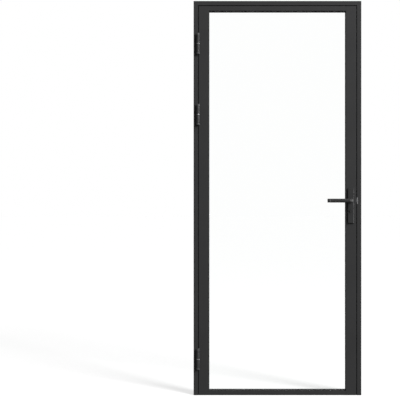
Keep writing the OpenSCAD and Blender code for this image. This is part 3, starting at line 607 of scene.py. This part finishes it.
def rounded_copy(name, width):
    """A merged copy of a solid, its sharp edges rounded by a width in metres, that stands for it."""
    piece = bpy.data.objects.new("rounded_" + name, nodes[name].data.copy())
    bpy.context.scene.collection.objects.link(piece)
    edit(piece)
    bpy.ops.mesh.customdata_custom_splitnormals_clear()
    bpy.ops.mesh.remove_doubles(threshold=merge_gap)
    bpy.ops.mesh.dissolve_limited(angle_limit=flat_angle)
    bpy.ops.object.mode_set(mode="OBJECT")
    if width > 0.0:
        soft_edge = piece.modifiers.new("soft_edge", "BEVEL")
        soft_edge.width = width
        soft_edge.segments = edge_sections
        soft_edge.limit_method = "ANGLE"
        soft_edge.angle_limit = sharp_angle
        bpy.ops.object.modifier_apply(modifier=soft_edge.name)
        edit(piece)
        bpy.ops.mesh.dissolve_degenerate(threshold=sliver)
        bpy.ops.object.mode_set(mode="OBJECT")
    smooth_rounds(piece)
    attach(piece, body_of[name])
    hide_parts(name)
    return piece


widths = {
    0.0007: ["front_plate", "back_plate"],
    0.0004: ["front_lever", "back_lever", "latch_bolt", "deadbolt"] + finishes[hinge_black],
    0.0003: ["strike_plate", "lock_forend"] + rings,
    0.0: finishes[powder_black] + finishes[cylinder_black],
}
rounded = {name: rounded_copy(name, width) for width, names in widths.items() for name in names}
print("rounded pieces:", len(rounded), "points:", sum(len(piece.data.vertices) for piece in rounded.values()))

# %% Turn a wider rim on both ends of the lock cylinder
touch = 0.00001
nose_rim, nose_round, nose_sections = 0.0075, 0.0011, 4


def pick(piece, kind, test):
    """Selects the faces or edges whose list of points passes a test, and goes on in edit mode."""
    bpy.ops.mesh.select_mode(type=kind)
    bpy.ops.mesh.select_all(action="DESELECT")
    bpy.ops.object.mode_set(mode="OBJECT")
    mesh = piece.data
    for part in mesh.polygons if kind == "FACE" else mesh.edges:
        part.select = test([mesh.vertices[i].co for i in part.vertices])
    bpy.ops.object.mode_set(mode="EDIT")


def joint_place(name):
    """The point that a joint turns about."""
    return next(joint["pos_m"] for joint in frame["joints"] if joint["name"] == name)


key_x, _, key_z = joint_place("key_turn")
nose_low, nose_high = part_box("cylinder_body")


def on_nose_rim(point):
    """True on the outer edge of either end of the cylinder."""
    at_end = point.y < nose_low.y + touch or point.y > nose_high.y - touch
    return at_end and math.hypot(point.x - key_x, point.z - key_z) > nose_rim


cylinder = rounded["cylinder_body"]
edit(cylinder)
pick(cylinder, "EDGE", lambda points: all(on_nose_rim(point) for point in points))
bpy.ops.mesh.bevel(offset=nose_round, segments=nose_sections, affect="EDGES")
bpy.ops.object.mode_set(mode="OBJECT")
smooth_rounds(cylinder)
print("cylinder faces:", len(cylinder.data.polygons))

# %% [markdown]
# ## Hinge caps
# The barrel of each hinge ends in a turned cap that hides the end of the pin. It could be a lathe
# profile, but a short cylinder is quicker: its outer rim is bevelled to a dome, a small dimple is inset
# in the middle, and the finished cap is copied to the other five ends.

# %% One cap, on the top end of the highest barrel
hinge_x, hinge_y, _ = joint_place("door_swing")
cap_radius, cap_skirt, cap_dome = 0.00825, 0.0085, 0.0014
dome_round, dome_sections, skirt_round, skirt_sections = 0.0026, 5, 0.0003, 2
dimple_border, dimple_wall, dimple_depth = 0.0016, 0.0005, 0.0004
cap_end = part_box("upper_knuckle_top")[1].z
cap_top, cap_rim = cap_end + cap_dome, cap_end - cap_skirt


def start_rod(name, vertices, radius, depth, middle, rotation=(0.0, 0.0, 0.0)):
    """A cylinder at its size and place, opened for editing."""
    bpy.ops.object.select_all(action="DESELECT")
    bpy.ops.mesh.primitive_cylinder_add(vertices=vertices, radius=radius, depth=depth, location=middle,
                                        rotation=rotation)
    piece = bpy.context.object
    piece.name = name
    bpy.ops.object.transform_apply(location=True, rotation=True, scale=True)
    edit(piece)
    return piece


def at_cap_top(points):
    """True for parts of the cap that lie at its top."""
    return all(point.z > cap_top - touch for point in points)


cap = start_rod("hinge_cap_upper_top", vertices=48, radius=cap_radius, depth=cap_top - cap_rim,
                middle=(hinge_x, hinge_y, (cap_top + cap_rim) / 2))
pick(cap, "EDGE", at_cap_top)
bpy.ops.mesh.bevel(offset=dome_round, segments=dome_sections, affect="EDGES")
pick(cap, "EDGE", lambda points: all(point.z < cap_rim + touch for point in points))
bpy.ops.mesh.bevel(offset=skirt_round, segments=skirt_sections, affect="EDGES")
pick(cap, "FACE", at_cap_top)
bpy.ops.mesh.inset(thickness=dimple_border)
bpy.ops.mesh.inset(thickness=dimple_wall)
bpy.ops.transform.translate(value=(0.0, 0.0, -dimple_depth))
bpy.ops.object.mode_set(mode="OBJECT")
smooth_rounds(cap)
print("cap faces:", len(cap.data.polygons))

# %% Copy the cap to the other ends
def placed_copy(piece, name, shift, turn_axis=None, turn_centre=None):
    """A copy with its own mesh, first turned by half a turn if an axis is given, then moved by a shift."""
    twin = bpy.data.objects.new(name, piece.data.copy())
    bpy.context.scene.collection.objects.link(twin)
    edit(twin)
    if turn_axis:
        bpy.ops.transform.rotate(value=math.pi, orient_axis=turn_axis, center_override=turn_centre)
    bpy.ops.transform.translate(value=shift)
    bpy.ops.object.mode_set(mode="OBJECT")
    return twin


def hand_in(piece, body, finish):
    """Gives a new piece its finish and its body."""
    piece.data.materials.clear()
    piece.data.materials.append(finish)
    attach(piece, body)


def cap_copy(half, level):
    """The cap on another end; on a lower half it is turned upside down."""
    low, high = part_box(f"{half}_knuckle_{level}")
    name = f"hinge_cap_{half}_{level}"
    if half == "upper":
        return placed_copy(cap, name, (0.0, 0.0, high.z - cap_end))
    return placed_copy(cap, name, (0.0, 0.0, low.z - cap_end), "X", (hinge_x, hinge_y, cap_end))


def hand_in_halves(first, copy_for, finish):
    """Copies a piece of the highest upper half to all other halves, and hands all of them in."""
    pieces = {("upper", "top"): first}
    for level in levels:
        for half in ("upper", "lower"):
            if (half, level) not in pieces:
                pieces[half, level] = copy_for(half, level)
    for (half, level), piece in pieces.items():
        hand_in(piece, "leaf" if half == "upper" else "frame", finish)
    print("pieces like", first.name + ":", len(pieces))


hand_in_halves(cap, cap_copy, cap_grey)

# %% [markdown]
# ## Weld beads
# Such a hinge is welded on: each half has a foot, and a bead runs in the corner between the foot and
# the profile, with the ripples of the weld under the coat. The bead starts as a thin rod, cut across
# many times. Every second ring is drawn in, and a subdivision turns the steps into ripples.

# %% One bead beside the foot of the highest barrel
bead_radius, foot_reach, bead_offset = 0.0019, 0.0065, 0.0003
low_gap, high_gap = 0.003, 0.002
ripples, ripple_waist, ripple_angle = 23, 0.8, math.radians(60.0)
foot_low, foot_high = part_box("upper_knuckle_top")
bead_x, bead_y = hinge_x + foot_reach + bead_offset, front_of_frame - bead_offset
bead_low, bead_high = foot_low.z + low_gap, foot_high.z - cap_skirt - high_gap
ring_step = (bead_high - bead_low) / (ripples + 1)


def on_even_ring(points):
    """True for what lies in every second ring of the bead."""
    return all(round((point.z - bead_low) / ring_step) % 2 == 0 for point in points)


bead = start_rod("hinge_weld_upper_top", vertices=12, radius=bead_radius, depth=bead_high - bead_low,
                 middle=(bead_x, bead_y, (bead_low + bead_high) / 2))
pick(bead, "EDGE", lambda points: abs(points[0].z - points[1].z) > ring_step)
bpy.ops.mesh.subdivide(number_cuts=ripples)
pick(bead, "EDGE", on_even_ring)
bpy.ops.transform.resize(value=(ripple_waist, ripple_waist, 1.0), center_override=(bead_x, bead_y, 0.0))
bpy.ops.object.mode_set(mode="OBJECT")
smooth = bead.modifiers.new("ripples", "SUBSURF")
smooth.levels = smooth.render_levels = 1
bpy.ops.object.modifier_apply(modifier=smooth.name)
bpy.ops.object.shade_smooth_by_angle(angle=ripple_angle)
print("bead faces:", len(bead.data.polygons))

# %% Copy the bead to the other feet
def bead_copy(half, level):
    """The bead on another foot; on a lower half it runs on the other side and clear of the cap below."""
    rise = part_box(f"{half}_knuckle_{level}")[0].z - foot_low.z
    shift = (0.0, 0.0, rise) if half == "upper" else (-2 * (bead_x - hinge_x), 0.0, rise + cap_skirt)
    return placed_copy(bead, f"hinge_weld_{half}_{level}", shift)


hand_in_halves(bead, bead_copy, powder_black)

# %% [markdown]
# ## Guide rings of the levers
# A lever turns in a low plastic ring that sits on its plate and keeps dirt out of the bearing. A disc
# is inset on both sides, the two inner faces are bridged to a hole, and the outer rim is rounded.

# %% One guide ring on the front plate
lever_x, _, lever_z = joint_place("handle_turn")
plate_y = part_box("front_plate")[0].y
ring_radius, ring_hole, ring_height = 0.0132, 0.0110, 0.0014
ring_round, ring_sections = 0.0005, 3
ring_middle_radius = (ring_radius + ring_hole) / 2


def on_ring_rim(point):
    """True on the outer edge of the ring's front."""
    at_front = point.y < plate_y - ring_height + touch
    return at_front and math.hypot(point.x - lever_x, point.z - lever_z) > ring_middle_radius


guide = start_rod("lever_guide_front", vertices=64, radius=ring_radius, depth=ring_height,
                  middle=(lever_x, plate_y - ring_height / 2, lever_z), rotation=(math.pi / 2, 0.0, 0.0))
pick(guide, "FACE", lambda points: len(points) > 4)
bpy.ops.mesh.inset(thickness=ring_radius - ring_hole)
bpy.ops.mesh.bridge_edge_loops()
pick(guide, "EDGE", lambda points: all(on_ring_rim(point) for point in points))
bpy.ops.mesh.bevel(offset=ring_round, segments=ring_sections, affect="EDGES")
bpy.ops.object.mode_set(mode="OBJECT")
smooth_rounds(guide)
print("guide ring faces:", len(guide.data.polygons))

# %% Its copy on the back plate
guide_back = placed_copy(guide, "lever_guide_back", (0.0, 0.0, 0.0), "Z", (lever_x, 0.0, lever_z))
guides = (guide, guide_back)
for piece in guides:
    hand_in(piece, "leaf", satin_black)
print("guide rings:", len(guides))
